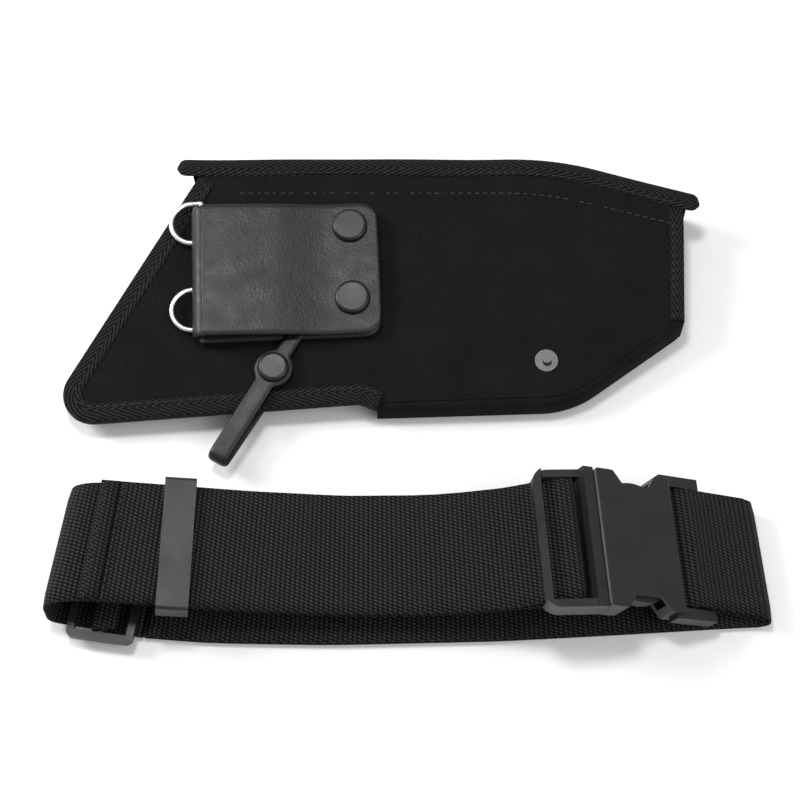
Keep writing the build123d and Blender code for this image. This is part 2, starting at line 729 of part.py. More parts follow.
half_w = slot_half_w + house_side_t
with BuildPart() as female_housing:
    with BuildSketch(side_of(house_plane)):
        with BuildLine():
            Polyline(
                (0, -house_half_t),
                (house_l, -house_end_half_t),
                (house_l, house_end_half_t),
                (0, house_half_t),
                close=True,
            )
        make_face()
    extrude(amount=half_w, both=True)
    fillet(female_housing.edges().filter_by(Axis(house_plane.origin, house_plane.y_dir)), 1.0)
    with BuildSketch(house_plane.offset(-house_half_t)):
        with BuildLine():
            FilletPolyline(
                (0, -half_w),
                (window_from - 2, -half_w),
                (window_from + 2, house_waist - half_w),
                (window_to - 2, house_waist - half_w),
                (window_to + 2, -half_w),
                (house_l, -half_w),
                (house_l, half_w),
                (window_to + 2, half_w),
                (window_to - 2, half_w - house_waist),
                (window_from + 2, half_w - house_waist),
                (window_from - 2, half_w),
                (0, half_w),
                radius=1.5,
                close=True,
            )
        make_face()
    extrude(amount=2 * house_half_t, mode=Mode.INTERSECT)
    inner_t = 2 * (house_half_t - plate_t)
    with Locations(house_plane):
        with Locations((-1, 0, -inner_t / 2)):
            Box(window_to + 3.5, 2 * slot_half_w, inner_t, align=lying, mode=Mode.SUBTRACT)
        with Locations((window_from, 0, -inner_t / 2)):
            Box(window_to - window_from, 90, inner_t, align=lying, mode=Mode.SUBTRACT)
    with Locations(bar_plane):
        feet = [(-4, side * (slot_half_w + foot_w / 2), -foot_half_t) for side in (-1, 1)]
        with Locations(*feet):
            Box(foot_l + 4, foot_w, 2 * foot_half_t, align=lying)
        with Locations((house_bar_u, 0, 0)):
            Cylinder(house_bar_r, outside_w - 1, rotation=(90, 0, 0))

# ---- belt: keeper and slider ---------------------------------------------------------------------
with BuildPart() as keeper:
    with Locations(keeper_plane):
        outer_h = keeper_inner_h + 2 * keeper_wall
        Box(keeper_l, keeper_inner_w + 2 * keeper_wall, outer_h)
        fillet(keeper.edges().filter_by(Axis(keeper_plane.origin, keeper_plane.x_dir)), 1.6)
        Box(keeper_l + 2, keeper_inner_w, keeper_inner_h, mode=Mode.SUBTRACT)

with BuildPart() as slider:
    with BuildSketch(slider_plane.offset(-slider_t / 2)):
        RectangleRounded(slider_l, outside_w, 3)
        Rectangle(slider_l - 2 * slider_bar_w, 2 * slot_half_w, mode=Mode.SUBTRACT)
    extrude(amount=slider_t)
    with Locations(slider_plane):
        Cylinder(slider_bar_r, outside_w - 2, rotation=(90, 0, 0))

# ---- files ---------------------------------------------------------------------------------------
pieces = {
    "back_panel": back_panel.part,
    "front_panel": front_panel.part,
    "liner_back": liner_back.part,
    "liner_front": liner_front.part,
    "gusset": gusset.part,
    "top_spine": top_spine.part,
    "mouth_binding_back": mouth_binding_back.part,
    "mouth_binding_front": mouth_binding_front.part,
    "top_binding": top_binding.part,
    "end_binding": end_binding.part,
    "loop_base": loop_base.part,
    "belt_loop_flap": belt_loop_flap.part,
    "d_ring_upper": d_ring_upper,
    "d_ring_lower": d_ring_lower,
    "loop_snap_caps": loop_snap_caps.part,
    "loop_snap_sockets": loop_snap_sockets.part,
    "loop_snap_studs": loop_snap_studs.part,
    "strap_front": strap_front.part,
    "strap_back": strap_back.part,
    "strap_rivet": strap_rivet.part,
    "strap_snap_cap": strap_snap_cap.part,
    "strap_snap_socket": strap_snap_socket.part,
    "strap_snap_stud": strap_snap_stud.part,
    "accessory_stud": accessory_stud.part,
    "accessory_washer": accessory_washer.part,
    "webbing_front": webbing_front,
    "webbing_back": webbing_back,
    "webbing_end": webbing_end,
    "male_frame": male_frame.part,
    "prong_far": prong_far,
    "prong_near": prong_near,
    "female_housing": female_housing.part,
    "keeper": keeper.part,
    "slider": slider.part,
}
os.makedirs("parts", exist_ok=True)
for name, piece in pieces.items():
    piece.label = name
    export_step(piece, f"parts/{name}.step")
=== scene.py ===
"""Looks for a belt sheath and its webbing belt, lying on a table.

Lengths in this script are millimetres in the layout's own drawing, as in the CAD model; MM turns them
into metres and SHIFT moves the drawing to the row frame.
"""

from math import atan2, cos, degrees, exp, pi, radians, sin, sqrt, tan

import bmesh
import bpy
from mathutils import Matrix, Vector

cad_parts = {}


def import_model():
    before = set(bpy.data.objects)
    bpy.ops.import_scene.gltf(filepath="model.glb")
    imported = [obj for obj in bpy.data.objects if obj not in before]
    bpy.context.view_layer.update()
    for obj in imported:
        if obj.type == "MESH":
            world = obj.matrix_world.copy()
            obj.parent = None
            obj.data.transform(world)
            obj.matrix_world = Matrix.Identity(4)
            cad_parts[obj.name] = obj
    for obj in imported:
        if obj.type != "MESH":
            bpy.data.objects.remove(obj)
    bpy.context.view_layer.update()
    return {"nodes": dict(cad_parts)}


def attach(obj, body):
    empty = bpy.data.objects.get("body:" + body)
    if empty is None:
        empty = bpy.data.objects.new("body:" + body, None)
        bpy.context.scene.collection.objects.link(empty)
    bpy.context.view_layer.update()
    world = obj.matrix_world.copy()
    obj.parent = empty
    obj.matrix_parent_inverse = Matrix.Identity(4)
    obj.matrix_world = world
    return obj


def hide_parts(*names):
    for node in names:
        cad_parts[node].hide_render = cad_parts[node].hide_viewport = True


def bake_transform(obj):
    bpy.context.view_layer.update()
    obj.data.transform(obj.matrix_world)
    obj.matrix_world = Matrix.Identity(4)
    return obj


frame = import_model()
nodes = frame["nodes"]

MM = 0.001
SHIFT = Vector((-3.65, 2.25, 0.0))

# ---- sizes shared with the CAD model ---------------------------------------------------------------
PANEL_T, TAPE_T, TAPE_W, END_TAPE_W, GUSSET_T = 3.2, 0.8, 8.2, 6.3, 3.0
BACK_TOP = TAPE_T + PANEL_T
FRONT_HEIGHT, FRONT_TILT = 12.6, radians(6.0)
SEAM_Y, SEAM_BEND_X, SEAM_FALL, FLANGE_W, FLANGE_EDGE = 89.0, 63.6, -15.0, 16.0, 15.2
END_X, MOUTH_X, MOUTH_SLOPE, LIP_SLOPE = 121.5, -92.0, 61.2, 4.5
NOTCH_TOP, NOTCH_LOW, HEEL, END_LOW = (-17.0, -7.0), (-9.5, -10.0), (72.0, -7.3), (119.5, 28.0)
TIP_R, NOTCH_R, HEEL_R, END_R, SEAM_R = 13.0, 3.0, 41.0, 3.5, 140.0
BACK_INSET = 5.0
LOOP_AT, LOOP_TURN, LOOP_L, LOOP_HALF_W, LOOP_MID_Q = (-88.0, 47.8), 2.5, 80.0, 30.0, 1.0
LEATHER_T, LOOP_GAP, LOOP_CORNER_R = 2.0, 7.0, 8.0
SNAP_STACK = 2.2
STRAP_AT, STRAP_TURN, STRAP_TO_FOLD = (-52.7, 7.4), 60.0, 42.0
STRAP_T, STRAP_W, STRAP_EYE_R, STRAP_TAB_W = 1.6, 8.4, 8.3, 6.8
STRAP_BACK_Z, STRAP_BACK_L = 5.2, 62.0
WEB_W, WEB_T = 50.0, 1.8


# ---- places ------------------------------------------------------------------------------------
def world(p):
    """A point of the drawing, in the row frame."""
    return (Vector(p) + SHIFT) * MM


class Face:
    """A plane of the drawing: local x, y and height become a drawing point."""

    def __init__(self, origin, x_axis, normal):
        self.origin = Vector(origin)
        self.x = Vector(x_axis).normalized()
        self.n = Vector(normal).normalized()
        self.y = self.n.cross(self.x)

    def at(self, x, y, z=0.0):
        return self.origin + self.x * x + self.y * y + self.n * z

    def turned(self, x, y, angle):
        a = radians(angle)
        return Face(self.at(x, y), self.x * cos(a) + self.y * sin(a), self.n)


front = Face((0, 0, FRONT_HEIGHT), (1, 0, 0), (0, -sin(FRONT_TILT), cos(FRONT_TILT)))
table = Face((0, 0, 0), (1, 0, 0), (0, 0, 1))
loop_face = front.turned(*LOOP_AT, LOOP_TURN)
strap_face = front.turned(*STRAP_AT, STRAP_TURN)


# ---- outlines ----------------------------------------------------------------------------------
def meet(p, angle_p, q, angle_q):
    ax, ay = cos(radians(angle_p)), sin(radians(angle_p))
    bx, by = cos(radians(angle_q)), sin(radians(angle_q))
    along = ((q[0] - p[0]) * by - (q[1] - p[1]) * bx) / (ax * by - ay * bx)
    return (p[0] + along * ax, p[1] + along * ay)


def heading(a, b):
    return degrees(atan2(b[1] - a[1], b[0] - a[0]))


def rounded(corners, radii, step=1.5):
    """Points about a step apart on a chain with rounded corners, with each point's left normal."""
    runs = [Vector(corners[0])]
    points = []
    for i, r in enumerate(radii):
        a, b, c = (Vector(corners[i + k]) for k in range(3))
        before, after = heading(a, b), heading(b, c)
        turn = (after - before + 180) % 360 - 180
        back = r * tan(radians(abs(turn)) / 2)
        sign = 1 if turn > 0 else -1
        centre = b - (b - a).normalized() * back
        side = radians(before + 90 * sign)
        centre = centre + Vector((cos(side), sin(side))) * r
        count = max(3, int(r * radians(abs(turn)) / step) + 2)
        arc = []
        for k in range(count):
            way = radians(before + turn * k / (count - 1) - 90 * sign)
            arc.append(centre + Vector((cos(way), sin(way))) * r)
        points += straight(runs[-1], arc[0], step)[1 if points else 0 : -1] + arc
        runs.append(arc[-1])
    points += straight(runs[-1], Vector(corners[-1]), step)[1 if points else 0:]
    return points


def straight(a, b, step):
    count = max(1, round((b - a).length / step))
    return [a.lerp(b, k / count) for k in range(count + 1)]


def normals(points):
    """The left normal at each point of an open chain."""
    made = []
    for i in range(len(points)):
        d = points[min(i + 1, len(points) - 1)] - points[max(i - 1, 0)]
        made.append(Vector((-d.y, d.x)).normalized())
    return made


def inset(points, distance):
    return [p + n * distance for p, n in zip(points, normals(points))]


seam_bend = (SEAM_BEND_X, SEAM_Y)
seam_end = meet(seam_bend, SEAM_FALL, (END_X, 0), 90)
tip = meet((MOUTH_X, SEAM_Y), MOUTH_SLOPE, NOTCH_TOP, LIP_SLOPE)
mouth_top = meet((MOUTH_X, SEAM_Y), MOUTH_SLOPE, (0, SEAM_Y + FLANGE_W - TAPE_W), 0)
mouth_line = rounded([mouth_top, tip, NOTCH_TOP, NOTCH_LOW], [TIP_R, NOTCH_R])
fold_line = rounded([NOTCH_LOW, HEEL, END_LOW, seam_end], [HEEL_R, END_R])
seam_line = rounded([seam_end, seam_bend, (MOUTH_X + 4, SEAM_Y)], [SEAM_R])


# ---- mesh making ---------------------------------------------------------------------------------
def add_mesh(name, points, faces, material, body, smooth=True):
    mesh = bpy.data.meshes.new(name)
    mesh.from_pydata([world(p) for p in points], [], faces)
    mesh.validate()
    bm = bmesh.new()
    bm.from_mesh(mesh)
    bmesh.ops.recalc_face_normals(bm, faces=bm.faces)
    bm.to_mesh(mesh)
    bm.free()
    for face in mesh.polygons:
        face.use_smooth = smooth
    mesh.materials.append(material)
    piece = bpy.data.objects.new(name, mesh)
    bpy.context.collection.objects.link(piece)
    if body:
        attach(piece, body)
    return piece


def lathe(rings, closed_ends=True):
    """Points and faces of a tube through rings of equally many points."""
    points = [p for ring in rings for p in ring]
    n = len(rings[0])
    faces = []
    for i in range(len(rings) - 1):
        for k in range(n):
            a, b = i * n + k, i * n + (k + 1) % n
            faces.append((a, b, b + n, a + n))
    if closed_ends:
        faces.append(tuple(range(n))[::-1])
        faces.append(tuple(range((len(rings) - 1) * n, len(rings) * n)))
    return points, faces


def weave_places(piece, rings):
    """Keeps each point's distance along and across its cloth, in mm, for the weave to follow."""
    places, along = [], 0.0
    for i, ring in enumerate(rings):
        if i:
            along += (ring[0] - rings[i - 1][0]).length
        across = 0.0
        for k, p in enumerate(ring):
            if k:
                across += (p - ring[k - 1]).length
            places += (along, across, 0.0)
    layer = piece.data.attributes.new("weave", "FLOAT_VECTOR", "POINT")
    layer.data.foreach_set("vector", places)


# ---- materials -----------------------------------------------------------------------------------
class Finish:
    """A Principled material built up node by node."""

    def __init__(self, name, roughness=0.6, metallic=0.0, **sockets):
        self.material = bpy.data.materials.new(name)
        self.material.use_nodes = True
        self.tree = self.material.node_tree
        self.shader = self.tree.nodes["Principled BSDF"]
        self.shader.inputs["Roughness"].default_value = roughness
        self.shader.inputs["Metallic"].default_value = metallic
        for key, value in sockets.items():
            self.shader.inputs[key.replace("_", " ")].default_value = value
        self.coordinates = self.tree.nodes.new("ShaderNodeTexCoord").outputs["Object"]

    def add(self, kind, **sockets):
        node = self.tree.nodes.new("ShaderNode" + kind)
        for key, value in sockets.items():
            if key in ("operation", "wave_type", "bands_direction", "wave_profile", "feature", "blend_type"):
                setattr(node, key, value)
                continue
            socket = node.inputs[int(key[1:])] if key[0] == "i" and key[1:].isdigit() else node.inputs[key]
            if isinstance(value, bpy.types.NodeSocket):
                self.tree.links.new(value, socket)
            else:
                socket.default_value = value
        return node

    def mapped(self, scale=(1, 1, 1), turn=(0, 0, 0)):
        node = self.add("Mapping", Vector=self.coordinates, Rotation=turn, Scale=scale)
        return node.outputs["Vector"]

    def noise(self, scale, detail=3.0, vector=None):
        node = self.add("TexNoise", Scale=scale, Detail=detail, Vector=vector or self.coordinates)
        return node.outputs["Fac"]

    def math(self, operation, a, b=0.0):
        return self.add("Math", operation=operation, i0=a, i1=b).outputs[0]

    def cloth(self):
        """Distances along and across the cloth, in mm."""
        place = self.add("Attribute")
        place.attribute_name = "weave"
        parts = self.add("SeparateXYZ", Vector=place.outputs["Vector"])
        return parts.outputs["X"], parts.outputs["Y"]

    def hump(self, phase):
        """0 at whole numbers of phase and 1 half way between them."""
        return self.math("SINE", self.math("MULTIPLY", self.math("FRACT", phase), pi))

    def ramp(self, factor, *stops):
        node = self.add("ValToRGB", Fac=factor)
        elements = node.color_ramp.elements
        while len(elements) < len(stops):
            elements.new(0.5)
        for element, (place, colour) in zip(elements, stops):
            element.position = place
            element.color = (*colour, 1) if len(colour) == 3 else colour
        return node.outputs["Color"]

    def colour(self, socket):
        self.tree.links.new(socket, self.shader.inputs["Base Color"])

    def rough(self, socket):
        self.tree.links.new(socket, self.shader.inputs["Roughness"])

    def bump(self, height, strength=0.5, distance=0.0003):
        node = self.add("Bump", Strength=strength, Distance=distance, Height=height)
        self.tree.links.new(node.outputs["Normal"], self.shader.inputs["Normal"])


def wave(finish, axis_scale, turn, direction="X"):
    """A sine wave between 0 and 1 along one axis; axis_scale is in waves per metre."""
    vector = finish.mapped(scale=(axis_scale / 20 * 2 * pi,) * 3, turn=turn)
    node = finish.add("TexWave", Vector=vector, Scale=1.0, Distortion=0.0)
    node.wave_type = "BANDS"
    node.bands_direction = direction
    return node.outputs["Fac"]


def grey(v, warm=0.0):
    return (v * (1 + warm), v, v * (1 - warm))


def shell_fabric():
    """Fine plain-weave nylon over foam."""
    f = Finish("shell_fabric", roughness=0.9)
    f.shader.inputs["Specular IOR Level"].default_value = 0.06
    weave = f.math("MULTIPLY", wave(f, 1250, (0, 0, 0)), wave(f, 1250, (0, 0, 0), "Y"))
    blotch = f.noise(60.0, 4.0)
    fibre = f.noise(1600.0, 2.0)
    mixed = f.math("ADD", f.math("MULTIPLY", blotch, 0.35), f.math("MULTIPLY", fibre, 0.65))
    f.colour(f.ramp(mixed, (0.3, grey(0.0052)), (0.7, grey(0.0125))))
    f.bump(f.math("ADD", weave, f.math("MULTIPLY", fibre, 0.8)), 0.6, 0.0003)
    return f.material


def binding_tape():
    """Herringbone twill tape: ribs that change their slant at every rib band."""
    f = Finish("binding_tape", roughness=0.8)
    f.shader.inputs["Specular IOR Level"].default_value = 0.12
    along, across = f.cloth()
    zigzag = f.math("PINGPONG", f.math("ADD", across, 0.8), 4.6)
    phase = f.math("ADD", f.math("DIVIDE", along, 3.4), f.math("DIVIDE", zigzag, 1.5))
    rib = f.hump(phase)
    knots = f.hump(f.math("DIVIDE", f.math("SUBTRACT", along, f.math("MULTIPLY", zigzag, 0.4)), 1.15))
    fibre = f.noise(1500.0, 2.0)
    height = f.math("MULTIPLY", rib, f.math("ADD", 0.65, f.math("MULTIPLY", knots, 0.35)))
    height = f.math("ADD", height, f.math("MULTIPLY", fibre, 0.3))
    # The colour follows the rib height: painted shade in the grooves between the ribs and a painted highlight
    # on the rib crests; the fibre noise adds real tone.
    f.colour(f.ramp(height, (0.3, grey(0.0028)), (1.0, grey(0.024))))
    f.bump(height, 1.0, 0.0008)
    return f.material


def leather(name, base, light):
    """Fine-grained leather with soft gloss and a few creases."""
    f = Finish(name, roughness=0.45, Coat_Weight=0.05, Coat_Roughness=0.4)
    f.shader.inputs["Specular IOR Level"].default_value = 0.42
    cells = f.add("TexVoronoi", Vector=f.coordinates, Scale=850.0).outputs["Distance"]
    fine = f.noise(1400.0, 3.0)
    creases = f.noise(260.0, 4.0, f.mapped(scale=(1.0, 0.35, 1.0)))
    broad = f.noise(45.0, 4.0)
    grain = f.math("ADD", f.math("MULTIPLY", cells, 0.7), f.math("MULTIPLY", fine, 0.5))
    height = f.math("ADD", grain, f.math("MULTIPLY", creases, 0.8))
    f.colour(f.ramp(broad, (0.3, base), (0.75, light)))
    f.rough(f.ramp(f.noise(120.0, 3.0), (0.3, grey(0.40)), (0.7, grey(0.54))))
    f.bump(height, 0.45, 0.00025)
    return f.material


def webbing_cloth():
    """Heavy webbing: rows of short slanting floats across the belt, each row shifted by half a float."""
    f = Finish("webbing", roughness=0.7)
    f.shader.inputs["Specular IOR Level"].default_value = 0.14
    along, across = f.cloth()
    rows = f.math("DIVIDE", along, 1.95)
    shift = f.math("MULTIPLY", f.math("MODULO", f.math("FLOOR", rows), 2.0), 0.5)
    slant = f.math("MULTIPLY", f.math("FRACT", rows), 0.55)
    steps = f.math("ADD", f.math("ADD", f.math("DIVIDE", across, 1.45), shift), slant)
    floats = f.math("MULTIPLY", f.math("POWER", f.hump(rows), 0.8), f.math("POWER", f.hump(steps), 0.85))
    fibre = f.noise(2000.0, 2.0)
    height = f.math("ADD", floats, f.math("MULTIPLY", fibre, 0.25))
    # The colour follows the float height: painted shade in the gaps between the floats and a painted
    # highlight on the float tops; the fibre noise adds real tone.
    f.colour(f.ramp(height, (0.25, grey(0.0022)), (1.0, grey(0.044))))
    f.bump(height, 1.0, 0.0010)
    return f.material


def plastic(name, value, roughness):
    f = Finish(name, roughness=roughness)
    f.shader.inputs["Specular IOR Level"].default_value = 0.5
    spark = f.noise(2600.0, 2.0)
    wear = f.noise(70.0, 4.0)
    f.colour(f.ramp(wear, (0.3, grey(value * 0.85)), (0.7, grey(value * 1.2))))
    f.rough(f.ramp(wear, (0.3, grey(roughness - 0.05)), (0.7, grey(roughness + 0.07))))
    f.bump(spark, 0.25, 0.0001)
    return f.material


def metal(name, tint, roughness, scratch=0.15):
    f = Finish(name, roughness=roughness, metallic=1.0)
    marks = f.noise(900.0, 3.0, f.mapped(scale=(1, 6, 1)))
    f.colour(f.ramp(marks, (0.3, [c * 0.92 for c in tint]), (0.7, tint)))
    f.rough(f.ramp(marks, (0.3, grey(roughness * 0.8)), (0.7, grey(roughness * 1.35))))
    f.bump(marks, scratch, 0.00005)
    return f.material


FABRIC = shell_fabric()
TAPE = binding_tape()
LEATHER = leather("loop_leather", (0.0062, 0.0063, 0.0066), (0.0092, 0.0094, 0.0098))
STRAP_LEATHER = leather("strap_leather", (0.0060, 0.0060, 0.0062), (0.0085, 0.0085, 0.0088))
WEBBING = webbing_cloth()
THREAD = plastic("thread", 0.034, 0.6)
DARK_THREAD = plastic("dark_thread", 0.014, 0.7)
BUCKLE = plastic("buckle_plastic", 0.0085, 0.44)
SNAP = plastic("snap_black", 0.0055, 0.42)
CHROME = metal("ring_steel", (0.86, 0.85, 0.83), 0.3, 0.03)
STEEL = metal("snap_steel", (0.22, 0.22, 0.22), 0.34)
STUD = metal("stud_steel", (0.13, 0.13, 0.13), 0.34)
LINER = plastic("liner", 0.03, 0.5)


# ---- sheath: panels ------------------------------------------------------------------------------
def panel_outline(mouth_inset, fold_inset):
    """The closed outline of a panel: mouth, fold, closed end and top edge."""
    mouth = inset(mouth_line, mouth_inset)
    fold = inset(fold_line, fold_inset)
    top = inset(seam_line, -FLANGE_EDGE)
    low = [p for p in fold if p.x > mouth[-1].x + 1.0]
    corner = Vector((END_X - fold_inset, meet(top[0], SEAM_FALL, (END_X - fold_inset, 0), 90)[1]))
    high = [p for p in top if p.x < corner.x - 1.0 and p.x > mouth[0].x + 6.0]
    edge_top = Vector(meet(mouth[0], MOUTH_SLOPE, (0, high[-1].y), 0))
    return mouth + low + [corner] + high + [edge_top]


def from_edge(p, outline):
    """Distance from a point to a closed outline."""
    best = 1e9
    for a, b in zip(outline, outline[1:] + outline[:1]):
        d = b - a
        t = max(0.0, min(1.0, (p - a).dot(d) / max(d.length_squared, 1e-9)))
        best = min(best, (p - a - d * t).length)
    return best


def panel(name, face, z_low, z_high, mouth_inset, fold_inset, node, crown, seam_dip):
    """A padded panel: a closed slab, filled with even quads, crowned and pressed in at its seam."""
    outline = panel_outline(mouth_inset, fold_inset)
    bm = bmesh.new()
    ring = [bm.verts.new((p.x, p.y, 0)) for p in outline]
    bm.faces.new(ring)
    for x in range(-140, 130, 3):
        cut = bm.verts[:] + bm.edges[:] + bm.faces[:]
        bmesh.ops.bisect_plane(bm, geom=cut, plane_co=(x, 0, 0), plane_no=(1, 0, 0))
    for y in range(-18, 110, 3):
        cut = bm.verts[:] + bm.edges[:] + bm.faces[:]
        bmesh.ops.bisect_plane(bm, geom=cut, plane_co=(0, y, 0), plane_no=(0, 1, 0))
    bmesh.ops.triangulate(bm, faces=[f for f in bm.faces if len(f.verts) > 4])
    bm.verts.ensure_lookup_table()
    flat = [Vector((v.co.x, v.co.y)) for v in bm.verts]
    faces = [[v.index for v in f.verts] for f in bm.faces]
    rim = [e for e in bm.edges if len(e.link_faces) == 1]
    pairs = [(e.verts[0].index, e.verts[1].index) for e in rim]
    bm.free()
    coarse = outline[::3]
    seam = seam_line[::3]
    count = len(flat)
    points = []
    for level in (0, 1):
        for p in flat:
            d = from_edge(p, coarse)
            puff = crown * (1 - exp(-d / 7.0))
            s = min((p - q).length for q in seam)
            puff -= seam_dip * exp(-((s / 1.6) ** 2))
            waves = sin(p.x / 19 + 0.6 * sin(p.y / 23)) * sin(p.y / 27 + 1.1)
            puff += 0.25 * crown * waves * (1 - exp(-d / 15))
            z = z_high + puff if level else z_low
            points.append(face.at(p.x, p.y, z))
    faces_all = [f[::-1] for f in faces] + [[i + count for i in f] for f in faces]
    faces_all += [(a, b, b + count, a + count) for a, b in pairs]
    piece = add_mesh(name, points, faces_all, FABRIC, "sheath")
    soften = piece.modifiers.new("rim", "BEVEL")
    soften.width, soften.segments, soften.angle_limit = 0.0006, 2, radians(50)
    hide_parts(node)
    return piece


panel("front_padding", front, -PANEL_T, 0.0, TAPE_T, GUSSET_T + 0.4, "front_panel", 0.55, 0.75)
panel("back_padding", table, TAPE_T, BACK_TOP - 0.4, BACK_INSET + TAPE_T, GUSSET_T, "back_panel", 0.3, 0.0)


# ---- sheath: bindings ----------------------------------------------------------------------------
def swept(name, line, profile_at, material, node=None, body="sheath"):
    """A closed profile swept along a chain. profile_at(point) gives (inward, drawing height) pairs."""
    side = normals(line)
    rings = []
    for p, n in zip(line, side):
        rings.append([maker(p, n) for maker in profile_at(p)])
    piece = add_mesh(name, *lathe(rings), material, body)
    weave_places(piece, rings)
    if node:
        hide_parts(node)
    return piece


def on(face, inward, z):
    """A profile point at an inward distance and a height over a face."""
    return lambda p, n: face.at(p.x + n.x * inward, p.y + n.y * inward, z)


def folded_tape(face, low, high, width, edge=0.0):
    """A tape folded round an edge: over the top, round it, and back below."""
    t, fat = TAPE_T, 1.0
    outer, inner = [], []
    for k in range(9):
        a = pi / 2 + pi * k / 8
        mid, half = (low + high) / 2, (high - low) / 2 + t
        outer.append((edge + fat + fat * cos(a), mid + half * sin(a)))
        inner.append((edge + fat + 0.35 + (fat - t + 0.1) * cos(a), mid + (half - t) * sin(a)))
    far = edge + width
    points = [(far, high + 0.05), (far, high + t * 0.8), (far - 0.5, high + t)]
    points += [(far - 2.6, high + t * 0.94), (edge + 2.8, high + t)] + outer
    points += [(edge + 2.8, low - t), (far - 0.5, low - t), (far, low - t * 0.8), (far, low - 0.05)]
    points += inner[::-1]
    return [on(face, x, z) for x, z in points]


swept(
    "mouth_tape_front",
    mouth_line,
    lambda p: folded_tape(front, -PANEL_T, 0, TAPE_W),
    TAPE,
    "mouth_binding_front",
)
swept(
    "mouth_tape_back",
    mouth_line,
    lambda p: folded_tape(table, TAPE_T, BACK_TOP, TAPE_W, BACK_INSET),
    TAPE,
    "mouth_binding_back",
)


def rise(y):
    """The drawing height of the front panel's outer face."""
    return FRONT_HEIGHT + y * tan(FRONT_TILT)


def wall_profile(p):
    """The wall round the fold: rounded over into the front and the back."""
    h = rise(p.y)
    points = [(GUSSET_T + 0.6, h - 0.9), (GUSSET_T + 0.6, h + 0.05), (2.2, h - 0.05), (1.0, h - 0.6)]
    points += [(0.25, h - 1.6), (0.0, h - 3.2), (0.0, 3.4), (0.3, 2.0), (1.1, 1.1), (GUSSET_T, 0.85)]
    points += [(GUSSET_T, 2.0), (GUSSET_T - 0.2, h - 3.0)]
    return [on(table, x, z) for x, z in points]


wall_line = [p for p in fold_line if p.y < seam_end[1] - 1.0]
swept("fold_wall", wall_line, wall_profile, FABRIC, "gusset")

seam_top = rounded(
    [
        (END_X + 5.0, seam_end[1] - 5.0 * tan(radians(-SEAM_FALL))),
        seam_bend,
        (MOUTH_X - 5.0, SEAM_Y),
    ],
    [SEAM_R],
)


def top_profile(p):
    """The top tape: a roll over the front edge, a wall down, and a foot under the back."""
    from_end = min(END_X + 5.0 - p.x, p.x - MOUTH_X + 5.0)
    past = from_end < 6.0
    wavy = 0.3 * sin(p.x / 23) + 0.2 * sin(p.x / 9.5 + 1)
    h = rise(p.y + FLANGE_W) + wavy
    e = -FLANGE_W + 0.3 * sin(p.x / 17)
    far = TAPE_W + 0.25 * sin(p.x / 13)
    slope = tan(FRONT_TILT)
    over = [(far, -0.1), (far, 0.5), (far - 0.6, 0.8), (6.2, 1.15)]
    over += [(4.4, 1.55), (2.6, 1.5), (1.1, 0.95), (0.3, 0.1)]
    points = [(e + x, h - x * slope + z) for x, z in over]
    foot = h - 2.6 if past else 3.0
    points += [(e, h - 1.2), (e, foot), (e + 0.2, foot - 2.0 if not past else foot - 0.4)]
    if past:
        points += [(e + 0.9, foot - 0.7), (e + 3.0, foot - 0.7), (e + 3.2, foot)]
        points += [(e + 2.4, foot + 0.4), (e + 1.6, h - 1.4)]
    else:
        points += [(e + 0.9, 0.1), (e + far - 0.4, 0.05), (e + far - 0.3, 0.7)]
        points += [(e + 1.4, 0.9), (e + 0.9, h - 1.4)]
    if from_end < 4.0:
        shrink = sqrt(max(1 - ((4.0 - from_end) / 4.0) ** 2, 0.03))
        mid, level = e + far / 2, h - 1.2
        drop = 0.6 * (1 - shrink)
        points = [(mid + (x - mid) * shrink, level + (z - level) * shrink - drop) for x, z in points]
    return [on(table, x, z) for x, z in points]


swept("top_tape", seam_top, top_profile, TAPE, "top_binding")

end_line = [p for p in fold_line if p.y > END_LOW[1] + END_R - 2.0 and p.x > 110]
end_line.append(Vector((END_X, seam_end[1] + 8.0)))


def end_profile(p):
    h = rise(p.y)
    far = END_TAPE_W - TAPE_T
    points = [(far, h - 0.1), (far, h + 0.5), (far - 0.5, h + 0.78), (0.9, h + 0.85), (-0.3, h + 0.4)]
    points += [(-0.75, h - 0.8), (-0.8, 2.0), (-0.6, 0.6), (0.2, 0.1), (far - 0.4, 0.05)]
    points += [(far - 0.4, 0.75), (0.2, 0.8), (-0.02, 1.6), (-0.02, h - 1.0), (0.4, h - 0.1)]
    return [on(table, x, z) for x, z in points]


swept("end_tape", end_line, end_profile, TAPE, "end_binding")


def spine_profile(p):
    inner = 18.0 - FLANGE_EDGE
    h = rise(p.y)
    points = [(-FLANGE_EDGE + 0.1, BACK_TOP + 0.1), (inner - 1.0, BACK_TOP + 0.1), (inner, BACK_TOP + 1.5)]
    points += [(inner, h - PANEL_T - 2.4), (inner - 1.0, h - PANEL_T - 1.2)]
    points += [(-FLANGE_EDGE + 0.1, rise(p.y + FLANGE_EDGE) - PANEL_T - 0.3)]
    return [on(table, x, z) for x, z in points]


spine_line = [p for p in seam_line if p.x > MOUTH_X + 17.0]
swept("spine_pad", spine_line, spine_profile, FABRIC, "top_spine")


